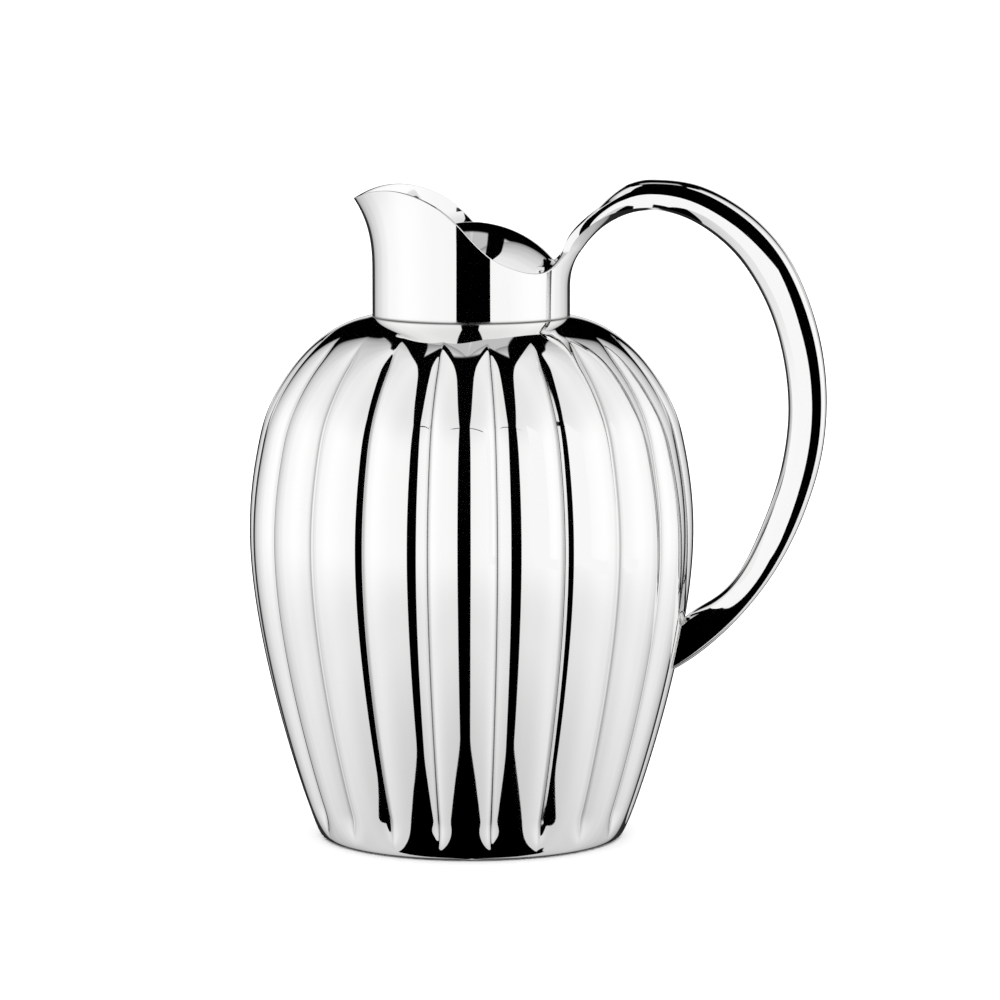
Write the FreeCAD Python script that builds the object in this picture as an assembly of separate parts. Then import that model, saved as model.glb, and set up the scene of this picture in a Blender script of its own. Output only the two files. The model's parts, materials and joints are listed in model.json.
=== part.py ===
import FreeCAD, Part
import math
import os

# Insulated pouring jug, lengths in mm.  Origin: centre of the base on the resting plane.
# +Z is up, -X is the spout, +X is the handle, and the XZ plane is the plane of symmetry.

# ---- outer shell -------------------------------------------------------------------------
LOBES = 20                     # convex ribs round the body
LOBE_PITCH = 360.0 / LOBES
LOBE_DEPTH = 0.0415            # valley depth as a share of the crest radius
ARCH_K = 0.953                 # how full the elliptical arch of one rib is
SHELL_T = 0.6
SHELL_POLES = [(51.3, 0.6), (53.5, 0.6), (68.26, 44.68), (78.51, 101.77),
               (72.96, 137.02), (68.46, 153.34), (49.36, 176.78), (33.7, 179.0)]

# ---- collar with spout ---------------------------------------------------------------------
NECK_Z = 179.0
COLLAR_R = 33.7
COLLAR_T = 1.2
COLLAR_TOP = 225.0
SPOUT_FLARE = 6.3              # how far the lip leans out at the tip
RIM = [(-48.0, 217.5), (-41.0, 219.2), (-36.3, 221.0), (-31.9, 222.3), (-25.5, 222.6), (-19.2, 221.4),
       (-14.8, 220.0), (-9.4, 217.0), (-5.2, 213.7), (-1.7, 210.3), (1.2, 207.1), (4.5, 203.8),
       (8.6, 200.4), (14.2, 197.5), (19.2, 195.8), (23.4, 195.2), (27.0, 196.0), (29.8, 198.2),
       (32.4, 201.6), (34.5, 205.5)]
SKIRT_R = 33.1                 # the part of the collar that goes down through the shell
SKIRT_FOOT = 171.0

# ---- handle: each station is (outer edge x, z), (inner edge x, z), half width --------------
HANDLE = [((28.5, 199.5), (31.5, 187.0), 13.5),
          ((32.9, 204.9), (38.0, 200.9), 11.5),
          ((37.7, 211.7), (43.2, 208.0), 9.6),
          ((43.8, 218.5), (48.6, 211.8), 8.8),
          ((52.5, 224.2), (54.8, 214.3), 8.4),
          ((63.5, 225.5), (62.8, 215.0), 8.2),
          ((76.0, 223.9), (72.5, 212.7), 8.2),
          ((87.9, 218.6), (81.5, 207.6), 8.3),
          ((97.1, 211.9), (88.6, 201.5), 8.4),
          ((106.3, 201.7), (95.3, 192.9), 8.5),
          ((113.5, 188.1), (101.4, 181.3), 8.6),
          ((118.2, 174.0), (105.2, 169.6), 8.6),
          ((120.6, 160.8), (107.3, 158.6), 8.6),
          ((121.2, 147.1), (108.1, 146.6), 8.6),
          ((119.9, 133.4), (107.2, 135.0), 8.5),
          ((115.8, 117.5), (104.2, 121.0), 8.4),
          ((109.0, 101.0), (98.8, 106.0), 8.2),
          ((99.2, 85.1), (91.5, 91.0), 8.1),
          ((89.0, 73.2), (83.6, 82.6), 8.0),
          ((78.6, 63.9), (74.6, 76.6), 6.6),
          ((69.4, 57.9), (65.4, 67.0), 1.9),
          ((62.0, 54.0), (58.0, 60.0), 1.0)]
D_SECTION = [(1.0, 0.0), (1.01, 0.3), (0.96, 0.58), (0.78, 0.83), (0.42, 0.965), (0.0, 1.0)]
UNDERSIDE_ARCH = 1.0           # how far the side towards the hand bulges between its edges
FOOT_SCREW_Z = 72.0
FOOT_SCREW_R = 1.9
FOOT_PAD_T = 0.4

# ---- base ----------------------------------------------------------------------------------
BASE_SCREW_PCD = 86.0
BASE_SCREWS = 3
PAD_R = 38.0

# ---- flask ---------------------------------------------------------------------------------
FLASK_T = 0.6
FLASK_TOP = 166.0
FLASK_OUT = [(0.0, 12.0), (28.0, 13.0), (47.0, 20.0), (55.0, 38.0), (60.0, 66.0), (61.5, 95.0),
             (60.5, 118.0), (55.0, 136.0), (43.0, 149.0), (33.0, 156.0), (30.4, 160.5)]
FLASK_IN = [(0.0, 19.0), (25.0, 20.0), (42.0, 27.0), (48.5, 42.0), (53.5, 68.0), (55.0, 95.0),
            (54.0, 115.0), (49.0, 130.0), (38.0, 142.0), (29.0, 149.5), (27.2, 156.0)]

# ---- stopper and lid -----------------------------------------------------------------------
STOPPER_R = 25.2
FLANGE_R = 27.9
FLANGE_Z = 172.0
PLATE_TOP = 178.0
STOPPER_FOOT = 148.0
PORT_X = -17.0
PORT_R = 5.2
PORT_T = 1.2
STOPPER_T = 1.4
POST_IN = 17.0                 # hinge posts stand between these distances from the middle
POST_OUT = 20.0
POST_HALF = 4.0
LUG_IN = 20.4                  # the lid's lugs hang just outside the posts
LUG_OUT = 25.4
LUG_HALF = 3.5
DOME_R = 37.4
DOME_Z = 173.6
DOME_EDGE_R = 31.5
DOME_T = 0.8
SKIRT_Z = 190.5
PIVOT_X = 8.0
PIVOT_Z = 193.0
PIN_R = 1.5
PIN_HALF = 25.0
PIN_PLAY = 0.05                # running clearance of the pin in the lid's lugs
SPINE_HALF = 25.6              # bridge over the spring that carries the valve stem
SPINE_Y = 5.0
SPINE_TOP = 198.5
STEM_R = 3.4
SEAL_Z = 178.3                 # underside of the valve seal, just above the port

os.makedirs("parts", exist_ok=True)
V = FreeCAD.Vector
UP = V(0, 0, 1)


def smooth(t):
    t = min(max(t, 0.0), 1.0)
    return t * t * (3.0 - 2.0 * t)


def export(name, shape):
    shape.exportStep("parts/" + name + ".step")
    print("%-20s valid %s solids %d volume %.1f" % (name, shape.isValid(), len(shape.Solids), shape.Volume))


def cyl(r, z0, z1, x=0.0, y=0.0):
    return Part.makeCylinder(r, z1 - z0, V(x, y, z0), UP)


def across_x(r, x0, x1):
    """Round bar or hole along X at the height of the handle's foot screw."""
    return Part.makeCylinder(r, x1 - x0, V(x0, 0, FOOT_SCREW_Z), V(1, 0, 0))


def across_y(r, y0, y1):
    """Round bar or hole along Y on the lid's hinge axis."""
    return Part.makeCylinder(r, y1 - y0, V(PIVOT_X, y0, PIVOT_Z), V(0, 1, 0))


def ring(r_in, r_out, z0, z1):
    return cyl(r_out, z0, z1).cut(cyl(r_in, z0 - 1.0, z1 + 1.0))


def bar(x0, x1, y0, y1, z0, z1):
    return Part.makeBox(x1 - x0, y1 - y0, z1 - z0, V(x0, y0, z0))


def curve_through(points):
    c = Part.BSplineCurve()
    c.interpolate([V(x, 0, z) for x, z in points])
    return c


def turned(points):
    """Solid of revolution of a closed polygon of (radius, z) points."""
    wire = Part.makePolygon([V(r, 0, z) for r, z in points + points[:1]])
    return Part.Face(wire).revolve(V(0, 0, 0), UP, 360.0)


def skin(points, thickness, top):
    """Thin turned wall: a curve from the axis outwards, then straight up to `top`."""
    outer = curve_through(points)
    a, b = outer.FirstParameter, outer.LastParameter
    inner = []
    for i in range(33):
        t = a + (b - a) * i / 32.0
        p = outer.value(t)
        d = outer.tangent(t)[0]
        inner.append((max(p.x - thickness * d.z, 0.0), p.z + thickness * d.x))
    inner[0] = (0.0, points[0][1] + thickness)
    neck_r = points[-1][0]
    inner[-1] = (neck_r - thickness, points[-1][1])
    edges = [outer.toShape(),
             Part.makeLine(V(neck_r, 0, points[-1][1]), V(neck_r, 0, top)),
             Part.makeLine(V(neck_r, 0, top), V(neck_r - thickness, 0, top)),
             Part.makeLine(V(neck_r - thickness, 0, top), V(neck_r - thickness, 0, points[-1][1])),
             curve_through(inner).toShape(),
             Part.makeLine(V(0, 0, points[0][1]), V(0, 0, points[0][1] + thickness))]
    wire = Part.Wire(Part.__sortEdges__(edges))
    return Part.Face(wire).revolve(V(0, 0, 0), UP, 360.0)


def surface_through(point, u_values, v_values):
    """Smooth surface through the points point(u, v)."""
    surface = Part.BSplineSurface()
    surface.interpolate([[point(u, v) for v in v_values] for u in u_values])
    return surface


def border(surface, side):
    """Edge of a surface: its first or last line along u ("v0", "v1") or along v ("u0", "u1")."""
    u0, u1, v0, v1 = surface.bounds()
    curves = {"v0": lambda: surface.vIso(v0), "v1": lambda: surface.vIso(v1),
              "u0": lambda: surface.uIso(u0), "u1": lambda: surface.uIso(u1)}
    return curves[side]().toShape()


def closed_solid(faces):
    shell = Part.makeShell(faces)
    shell.sewShape()
    solid = Part.Solid(shell)
    if solid.Volume < 0:
        solid.reverse()
    return solid


def wall(outer, inner, sectors, v_values):
    """Closed solid between two surfaces given as functions of (u, v), one patch per sector."""
    faces = []
    for u_values in sectors:
        a = surface_through(outer, u_values, v_values)
        b = surface_through(inner, u_values, v_values)
        faces += [a.toShape(), b.toShape()]
        for side in ("v0", "v1"):
            faces.append(Part.makeRuledSurface(border(a, side), border(b, side)))
    return closed_solid(faces)


# ---- shell surface ---------------------------------------------------------------------------
PROFILE = Part.BSplineCurve()
PROFILE.buildFromPoles([V(r, 0, z) for r, z in SHELL_POLES], False, 3)


def shell_point(angle, t, inset):
    """Point on the shell: crest profile at t, sunk between ribs by an elliptical arch."""
    p = PROFILE.value(t)
    d = PROFILE.tangent(t)[0]
    r = p.x - inset * d.z
    z = p.z + inset * d.x
    from_crest = abs((angle + LOBE_PITCH / 2.0) % LOBE_PITCH - LOBE_PITCH / 2.0) / (LOBE_PITCH / 2.0)
    arch = (1.0 - math.sqrt(1.0 - (ARCH_K * from_crest) ** 2)) / (1.0 - math.sqrt(1.0 - ARCH_K ** 2))
    fade = smooth((p.z - 1.5) / 12.0) * (1.0 - smooth((p.z - 160.0) / 16.5))
    r *= 1.0 - LOBE_DEPTH * arch * fade
    a = math.radians(angle)
    return V(r * math.cos(a), r * math.sin(a), z)


def rib_angles(index):
    """Angles across one rib, closer together towards the two valleys."""
    top = math.asin(ARCH_K)
    steps = [-1.0 + 2.0 * i / 12.0 for i in range(13)]
    return [index * LOBE_PITCH + math.sin(s * top) / ARCH_K * LOBE_PITCH / 2.0 for s in steps]


SHELL_V = [i / 30.0 for i in range(31)]


def outer_shell():
    sectors = [rib_angles(i) for i in range(LOBES)]
    outside = lambda a, t: shell_point(a, t, 0.0)
    inside = lambda a, t: shell_point(a, t, SHELL_T)
    body = wall(outside, inside, sectors, SHELL_V)
    return body.cut(across_x(FOOT_SCREW_R + 0.3, 66.0, 80.0))


def shell_core(grow, first, last):
    """Solid wedge inside the shell's outer surface (grown by `grow`), over a few ribs."""
    surfaces = []
    for i in range(first, last + 1):
        surfaces.append(surface_through(lambda a, t: shell_point(a, t, -grow), rib_angles(i), SHELL_V))
    faces = [s.toShape() for s in surfaces]
    top, foot = V(0, 0, shell_point(0.0, 1.0, -grow).z), V(0, 0, shell_point(0.0, 0.0, -grow).z)
    for surface in surfaces:
        for side, centre in (("v0", foot), ("v1", top)):
            rim = border(surface, side)
            spokes = [Part.makeLine(v.Point, centre) for v in rim.Vertexes]
            faces.append(Part.Face(Part.Wire(Part.__sortEdges__([rim] + spokes))))
    for edge in (border(surfaces[0], "u0"), border(surfaces[-1], "u1")):
        low, high = sorted([v.Point for v in edge.Vertexes], key=lambda p: p.z)
        lines = [Part.makeLine(high, top), Part.makeLine(top, foot), Part.makeLine(foot, low)]
        faces.append(Part.Face(Part.Wire(Part.__sortEdges__([edge] + lines))))
    return closed_solid(faces)


# ---- collar ------------------------------------------------------------------------------------
def collar_point(angle, z, inset):
    """Round wall whose front leans out into a V-shaped pouring lip towards the top."""
    from_front = abs(180.0 - angle % 360.0)
    lean = max((z - 194.0) / 25.0, 0.0) ** 2.6
    r = COLLAR_R - inset + SPOUT_FLARE * lean * math.exp(-(from_front / 24.0) ** 1.25)
    a = math.radians(angle)
    return V(r * math.cos(a), r * math.sin(a), z)


def collar():
    steps = [i / 40.0 for i in range(41)]
    halves = [[180.0 - 180.0 * s ** 1.4 for s in steps], [180.0 + 180.0 * s ** 1.4 for s in steps]]
    levels = [NECK_Z + (COLLAR_TOP - NECK_Z) * i / 20.0 for i in range(21)]
    outside = lambda a, z: collar_point(a, z, 0.0)
    inside = lambda a, z: collar_point(a, z, COLLAR_T)
    tube = wall(outside, inside, halves, levels)
    rim = curve_through(RIM).toShape()
    left, right = RIM[0], RIM[-1]
    outline = Part.Wire(Part.__sortEdges__([rim, Part.makeLine(V(right[0], 0, right[1]), V(right[0], 0, 240)),
                                            Part.makeLine(V(right[0], 0, 240), V(left[0], 0, 240)),
                                            Part.makeLine(V(left[0], 0, 240), V(left[0], 0, left[1]))]))
    above = Part.Face(outline).extrude(V(0, 100, 0))
    above.translate(V(0, -50, 0))
    tube = tube.cut(above)
    skirt = ring(COLLAR_R - COLLAR_T - 1.3, SKIRT_R, SKIRT_FOOT, NECK_Z + 0.02)
    return tube.fuse(skirt).removeSplitter()


def collar_nut():
    return ring(SKIRT_R + 0.15, 38.0, 171.4, 174.4)


def clamp_washer():
    return ring(SKIRT_R + 0.15, 36.4, 174.5, 175.9)


# ---- handle ------------------------------------------------------------------------------------
def handle_section(station):
    """Closed D section: shallow arched underside between two sharp edges, full round outer side."""
    (ox, oz), (ix, iz), half = station
    depth = math.hypot(ox - ix, oz - iz)
    ux, uz = (ox - ix) / depth, (oz - iz) / depth
    arch = min(UNDERSIDE_ARCH, 0.2 * half)

    def at(y, h):
        return V(ix + ux * h, y, iz + uz * h)

    right = [at(half * w, arch + (depth - arch) * h) for w, h in D_SECTION]
    left = [V(p.x, -p.y, p.z) for p in right[:-1]]
    back = Part.BSplineCurve()
    back.interpolate(right + left[::-1])
    underside = Part.Arc(left[0], at(0.0, 0.0), right[0])
    return Part.Wire([back.toShape(), underside.toShape()])


def handle_blank():
    return Part.makeLoft([handle_section(s) for s in HANDLE], True, False)


def handle_and_pad():
    blank = handle_blank()
    core = shell_core(0.0, -1, 1)
    grown = shell_core(FOOT_PAD_T, -1, 1)
    stud_hole = across_x(FOOT_SCREW_R + 0.05, 64.0, 82.0)
    grip = blank.cut(grown).cut(cyl(COLLAR_R, 150.0, 230.0)).cut(stud_hole)
    grip = max(grip.Solids, key=lambda s: s.Volume)
    pad = blank.common(grown).cut(core).cut(stud_hole)
    pad = max(pad.Solids, key=lambda s: s.Volume)
    return grip, pad


def foot_screw():
    head = across_x(3.6, 66.6, 69.2)
    return head.fuse(across_x(FOOT_SCREW_R, 69.2, 81.2)).cut(across_x(1.3, 66.0, 67.4))


def foot_washer():
    return across_x(5.0, 69.3, 70.9).cut(across_x(FOOT_SCREW_R + 0.3, 68.0, 72.0))


# ---- base --------------------------------------------------------------------------------------
def screw_places():
    places = []
    for i in range(BASE_SCREWS):
        a = math.radians(30.0 + 360.0 / BASE_SCREWS * i)
        places.append((BASE_SCREW_PCD / 2.0 * math.cos(a), BASE_SCREW_PCD / 2.0 * math.sin(a)))
    return places


def base_ring():
    plate = turned([(38.5, 4.2), (38.5, 6.2), (52.4, 6.2), (50.9, 2.0), (48.6, 2.0), (48.6, 4.2)])
    for x, y in screw_places():
        plate = plate.fuse(cyl(4.2, 4.2, 11.0, x, y)).cut(cyl(1.55, 3.0, 10.0, x, y))
    return plate.removeSplitter()


def base_cover():
    plate = turned([(0, 2.0), (0, 4.0), (48.2, 4.0), (48.2, 1.2), (46.2, 1.2), (46.2, 2.0)])
    plate = plate.fuse(ring(14.0, 16.0, 4.0, 9.0))
    for x, y in screw_places():
        plate = plate.cut(cyl(1.8, 0.0, 6.0, x, y)).cut(cyl(3.3, 0.0, 3.0, x, y))
    return plate.cut(cyl(PAD_R + 0.2, 1.0, 3.0))


def base_pad():
    return turned([(0, 3.0), (PAD_R, 3.0), (PAD_R, 0.6), (PAD_R - 0.6, 0.0), (0, 0.0)])


def base_screws():
    group = []
    for x, y in screw_places():
        head = cyl(2.9, 1.5, 3.0, x, y).cut(cyl(1.2, 1.0, 2.4, x, y))
        group.append(head.fuse(cyl(1.5, 3.0, 9.0, x, y)))
    return Part.Compound(group)


# ---- flask -------------------------------------------------------------------------------------
def flask_outer():
    return skin(FLASK_OUT, FLASK_T, FLASK_TOP)


def flask_inner():
    lip = ring(FLASK_IN[-1][0] - FLASK_T, FLASK_OUT[-1][0] - FLASK_T, FLASK_TOP - FLASK_T, FLASK_TOP)
    return skin(FLASK_IN, FLASK_T, FLASK_TOP).fuse(lip).removeSplitter()


def vacuum_cap():
    return turned([(0, 9.4), (0, 12.0), (9.0, 12.0), (9.0, 10.6), (7.0, 9.4)])


def flask_cushion():
    return turned([(16.4, 4.3), (16.4, 9.5), (14.5, 9.5), (14.5, 11.6), (24.0, 12.0), (30.0, 12.6),
                   (30.0, 4.3)])


def centring_ring():
    return ring(30.8, 37.0, 158.6, 165.6).cut(ring(20.0, 33.2, 158.0, 161.0))


def mouth_gasket():
    return ring(26.8, 30.2, FLASK_TOP + 0.05, FLASK_TOP + 1.4)


def mouth_ring():
    return turned([(26.6, 167.5), (26.6, 171.6), (28.2, 171.6), (28.2, 181.0), (30.8, 181.0), (30.8, 167.5)])


# ---- stopper -----------------------------------------------------------------------------------
def stopper_sleeve():
    groove = ring(24.4, 30.0, 157.8, 162.2)
    return ring(STOPPER_R - STOPPER_T, STOPPER_R, STOPPER_FOOT, FLANGE_Z).cut(groove)


def stopper_top():
    """Flange that seats on the mouth ring, with two posts for the lid's hinge pin."""
    top = cyl(FLANGE_R, FLANGE_Z, PLATE_TOP).cut(cyl(STOPPER_R - STOPPER_T, FLANGE_Z, PLATE_TOP - 2.0))
    for side in (-1, 1):
        y0, y1 = sorted((side * POST_IN, side * POST_OUT))
        post = bar(PIVOT_X - POST_HALF, PIVOT_X + POST_HALF, y0, y1, PLATE_TOP - 0.5, PIVOT_Z)
        top = top.fuse(post).fuse(across_y(POST_HALF, y0, y1))
    top = top.cut(cyl(PORT_R + PORT_T + 0.05, FLANGE_Z, PLATE_TOP + 1.0, PORT_X))
    return top.cut(across_y(PIN_R, -30.0, 30.0)).removeSplitter()


def pour_tube():
    tube = cyl(PORT_R + PORT_T, STOPPER_FOOT, PLATE_TOP, PORT_X)
    return tube.cut(cyl(PORT_R, STOPPER_FOOT - 1.0, PLATE_TOP + 1.0, PORT_X))


def stopper_core():
    core = cyl(STOPPER_R - STOPPER_T - 0.3, STOPPER_FOOT + 0.3, PLATE_TOP - 2.3)
    return core.cut(cyl(PORT_R + PORT_T + 0.3, 140.0, 180.0, PORT_X))


def stopper_cap():
    return cyl(STOPPER_R - 0.3, STOPPER_FOOT - 2.0, STOPPER_FOOT).cut(cyl(PORT_R, 140.0, 150.0, PORT_X))


def stopper_gasket():
    return turned([(24.5, 158.0), (24.5, 162.0), (25.4, 162.0), (26.1, 160.0), (25.4, 158.0)])


def hinge_pin():
    return across_y(PIN_R, -PIN_HALF, PIN_HALF)


def return_spring():
    """Torsion coil round the pin, with its two ends turned out."""
    coil_r, wire_r, pitch, turns = 2.5, 0.4, 1.1, 7
    helix = Part.makeHelix(pitch, pitch * turns, coil_r)
    start = Part.Wire(Part.makeCircle(wire_r, V(coil_r, 0, 0), V(0, 1, 0)))
    spring = Part.Wire(helix.Edges).makePipeShell([start], True, True)
    for y, z in ((0.3, 0.02), (-0.3, pitch * turns - 0.02)):
        spring = spring.fuse(Part.makeCylinder(0.36, 1.9, V(coil_r, y, z), V(1, 0, 0)))
    spring.rotate(V(0, 0, 0), V(1, 0, 0), -90.0)
    spring.rotate(V(0, 0, 0), V(0, 1, 0), 90.0)
    spring.translate(V(PIVOT_X, -pitch * turns / 2.0, PIVOT_Z))
    return spring


# ---- lid ---------------------------------------------------------------------------------------
def lid_dome():
    edge_z = DOME_Z + math.sqrt(DOME_R ** 2 - DOME_EDGE_R ** 2)
    inner_r = DOME_R - DOME_T
    inner_edge = DOME_EDGE_R - DOME_T
    inner_z = DOME_Z + math.sqrt(inner_r ** 2 - inner_edge ** 2)
    mid = 0.5 * math.atan2(DOME_EDGE_R, edge_z - DOME_Z)

    def halfway(r):
        return V(r * math.sin(mid), 0, DOME_Z + r * math.cos(mid))

    edges = [Part.Arc(V(0, 0, DOME_Z + DOME_R), halfway(DOME_R), V(DOME_EDGE_R, 0, edge_z)).toShape(),
             Part.makeLine(V(DOME_EDGE_R, 0, edge_z), V(DOME_EDGE_R, 0, SKIRT_Z)),
             Part.makeLine(V(DOME_EDGE_R, 0, SKIRT_Z), V(inner_edge, 0, SKIRT_Z)),
             Part.makeLine(V(inner_edge, 0, SKIRT_Z), V(inner_edge, 0, inner_z)),
             Part.Arc(V(inner_edge, 0, inner_z), halfway(inner_r), V(0, 0, DOME_Z + inner_r)).toShape(),
             Part.makeLine(V(0, 0, DOME_Z + inner_r), V(0, 0, DOME_Z + DOME_R))]
    wire = Part.Wire(Part.__sortEdges__(edges))
    return Part.Face(wire).revolve(V(0, 0, 0), UP, 360.0)


def lid_frame():
    """Rocker under the dome: rim ring, two lugs on the pin, a spine and the valve stem."""
    frame = ring(25.0, 30.5, SKIRT_Z, SKIRT_Z + 2.2)
    for side in (-1, 1):
        y0, y1 = sorted((side * LUG_IN, side * LUG_OUT))
        lug = bar(PIVOT_X - LUG_HALF, PIVOT_X + LUG_HALF, y0, y1, SKIRT_Z, PIVOT_Z)
        frame = frame.fuse(lug).fuse(across_y(LUG_HALF, y0, y1))
        x0, x1 = sorted((side * (SPINE_HALF - 2.0), side * SPINE_HALF))
        frame = frame.fuse(bar(x0, x1, -SPINE_Y, SPINE_Y, SKIRT_Z, SPINE_TOP))
    frame = frame.fuse(bar(-SPINE_HALF, SPINE_HALF, -SPINE_Y, SPINE_Y, SPINE_TOP - 1.9, SPINE_TOP))
    stem = cyl(STEM_R, SEAL_Z + 1.1, SPINE_TOP - 1.0, PORT_X)
    plug = Part.makeCone(STEM_R, STEM_R + 0.8, 1.2, V(PORT_X, 0, SEAL_Z - 1.4), UP)
    shoulder = cyl(STEM_R + 0.8, SEAL_Z - 0.2, SEAL_Z + 1.1, PORT_X)
    frame = frame.fuse(stem).fuse(plug).fuse(shoulder)
    return frame.cut(across_y(PIN_R + PIN_PLAY, -30.0, 30.0)).removeSplitter()


def valve_seal():
    return cyl(7.2, SEAL_Z, SEAL_Z + 1.3, PORT_X).cut(cyl(STEM_R + 0.85, SEAL_Z - 1.0, SEAL_Z + 2.0, PORT_X))


export("outer_shell", outer_shell())
export("base_ring", base_ring())
export("base_cover", base_cover())
export("base_pad", base_pad())
export("base_screws", base_screws())
export("flask_outer", flask_outer())
export("flask_inner", flask_inner())
export("vacuum_cap", vacuum_cap())
export("flask_cushion", flask_cushion())
export("centring_ring", centring_ring())
export("mouth_gasket", mouth_gasket())
export("mouth_ring", mouth_ring())
export("collar", collar())
export("collar_nut", collar_nut())
export("clamp_washer", clamp_washer())
grip, pad = handle_and_pad()
export("handle", grip)
export("foot_pad", pad)
export("foot_screw", foot_screw())
export("foot_washer", foot_washer())
export("stopper_sleeve", stopper_sleeve())
export("stopper_top", stopper_top())
export("pour_tube", pour_tube())
export("stopper_core", stopper_core())
export("stopper_cap", stopper_cap())
export("stopper_gasket", stopper_gasket())
export("hinge_pin", hinge_pin())
export("return_spring", return_spring())
export("lid_dome", lid_dome())
export("lid_frame", lid_frame())
export("valve_seal", valve_seal())
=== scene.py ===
# %% [markdown]
# # An insulated pouring jug in mirror-polished steel
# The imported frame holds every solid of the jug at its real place: casing, flask, collar, handle, stopper
# and lid. This script keeps that frame and gives the jug its looks. Polished steel shows the smallest flat
# facet, so each polished piece is worked out again as a dense smooth surface, while the pieces inside keep
# their solids and get a finish of their own.

# %%
import json
import math

import bpy
import numpy as np
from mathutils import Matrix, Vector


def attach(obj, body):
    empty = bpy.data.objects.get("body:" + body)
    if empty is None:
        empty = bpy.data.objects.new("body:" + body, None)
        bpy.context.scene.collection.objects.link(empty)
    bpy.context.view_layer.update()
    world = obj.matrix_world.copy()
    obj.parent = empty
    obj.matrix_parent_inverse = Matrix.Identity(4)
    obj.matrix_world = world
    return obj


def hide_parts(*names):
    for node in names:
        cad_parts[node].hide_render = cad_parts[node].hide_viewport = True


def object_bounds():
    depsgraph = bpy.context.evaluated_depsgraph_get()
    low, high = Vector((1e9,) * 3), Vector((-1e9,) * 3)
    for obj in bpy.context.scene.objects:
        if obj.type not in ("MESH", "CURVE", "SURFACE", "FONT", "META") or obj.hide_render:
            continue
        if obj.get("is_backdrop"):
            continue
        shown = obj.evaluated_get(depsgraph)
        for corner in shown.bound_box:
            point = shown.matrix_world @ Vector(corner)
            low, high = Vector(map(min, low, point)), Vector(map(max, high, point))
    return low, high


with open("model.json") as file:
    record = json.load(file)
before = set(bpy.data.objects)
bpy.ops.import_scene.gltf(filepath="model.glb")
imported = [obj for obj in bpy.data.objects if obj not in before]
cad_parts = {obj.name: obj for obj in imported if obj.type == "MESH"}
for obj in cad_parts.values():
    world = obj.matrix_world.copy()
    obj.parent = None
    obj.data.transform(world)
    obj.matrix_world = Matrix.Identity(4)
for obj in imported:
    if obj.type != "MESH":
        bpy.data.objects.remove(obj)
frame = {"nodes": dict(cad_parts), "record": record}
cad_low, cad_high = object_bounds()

MM = 0.001

# %% [markdown]
# ## Tools for surfaces
# Every new piece is a grid of points: one parameter runs round the piece and the other along it. A grid
# that closes on itself both ways is a torus, which is what a pressed sheet with two open ends is once it has
# a thickness: up the outside, over the edge, down the inside and back. The helper below turns such a grid
# into a mesh. Rows or columns that are real edges are marked sharp, and all the rest is shaded smooth.

# %%
def grid_faces(rows, columns, close_rows):
    """Quads between neighbouring grid points; columns always close, rows close if asked."""
    r = np.arange(rows if close_rows else rows - 1)[:, None]
    c = np.arange(columns)[None, :]
    r2, c2 = (r + 1) % rows, (c + 1) % columns
    corners = [r * columns + c, r * columns + c2, r2 * columns + c2, r2 * columns + c]
    return np.stack([np.broadcast_to(k, (len(r), columns)) for k in corners], axis=-1).reshape(-1, 4)


def sharp_ring(row, columns):
    """The edges of one row of a grid, as pairs of point numbers."""
    c = np.arange(columns)
    return np.stack([row * columns + c, row * columns + (c + 1) % columns], axis=1)


def new_piece(name, points_mm, quads, triangles=(), sharp=()):
    """Mesh object at the origin, in metres, smooth apart from the sharp edges, faces checked outwards."""
    mesh = bpy.data.meshes.new(name)
    faces = [tuple(face) for group in (quads, triangles) for face in np.asarray(group).tolist()]
    mesh.from_pydata((np.asarray(points_mm) * MM).tolist(), [], faces)
    mesh.update()
    mesh.polygons.foreach_set("use_smooth", np.ones(len(mesh.polygons), dtype=bool))
    if len(sharp):
        pairs = np.empty(2 * len(mesh.edges), dtype=np.int32)
        mesh.edges.foreach_get("vertices", pairs)
        size = len(points_mm)
        key = np.sort(pairs.reshape(-1, 2), axis=1) @ np.array([size, 1])
        wanted = np.sort(np.asarray(sharp), axis=1) @ np.array([size, 1])
        flags = mesh.attributes.new("sharp_edge", "BOOLEAN", "EDGE")
        flags.data.foreach_set("value", np.isin(key, wanted))
    if signed_volume(mesh) < 0:
        mesh.flip_normals()
    piece = bpy.data.objects.new(name, mesh)
    bpy.context.scene.collection.objects.link(piece)
    print(f"{name}: {len(mesh.polygons)} faces, volume {signed_volume(mesh) * 1e6:.1f} cm3")
    return piece


def signed_volume(mesh):
    """Sum of the tetrahedra from the origin to every triangle: positive when faces point outwards."""
    mesh.calc_loop_triangles()
    co = np.empty(3 * len(mesh.vertices))
    mesh.vertices.foreach_get("co", co)
    tri = np.empty(3 * len(mesh.loop_triangles), dtype=np.int32)
    mesh.loop_triangles.foreach_get("vertices", tri)
    a, b, c = co.reshape(-1, 3)[tri.reshape(-1, 3)].transpose(1, 0, 2)
    return float(np.einsum("ij,ij->i", a, np.cross(b, c)).sum() / 6.0)


def smoothstep(t):
    t = np.clip(t, 0.0, 1.0)
    return t * t * (3.0 - 2.0 * t)


# %% [markdown]
# Two kinds of curve are enough for the whole jug. A B-spline is pulled towards its few poles and never
# wiggles, which suits the body's outline. A natural cubic spline goes exactly through its points, which
# suits the rim and the handle, whose places are known. Both are worked out for all parameters at once.

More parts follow.
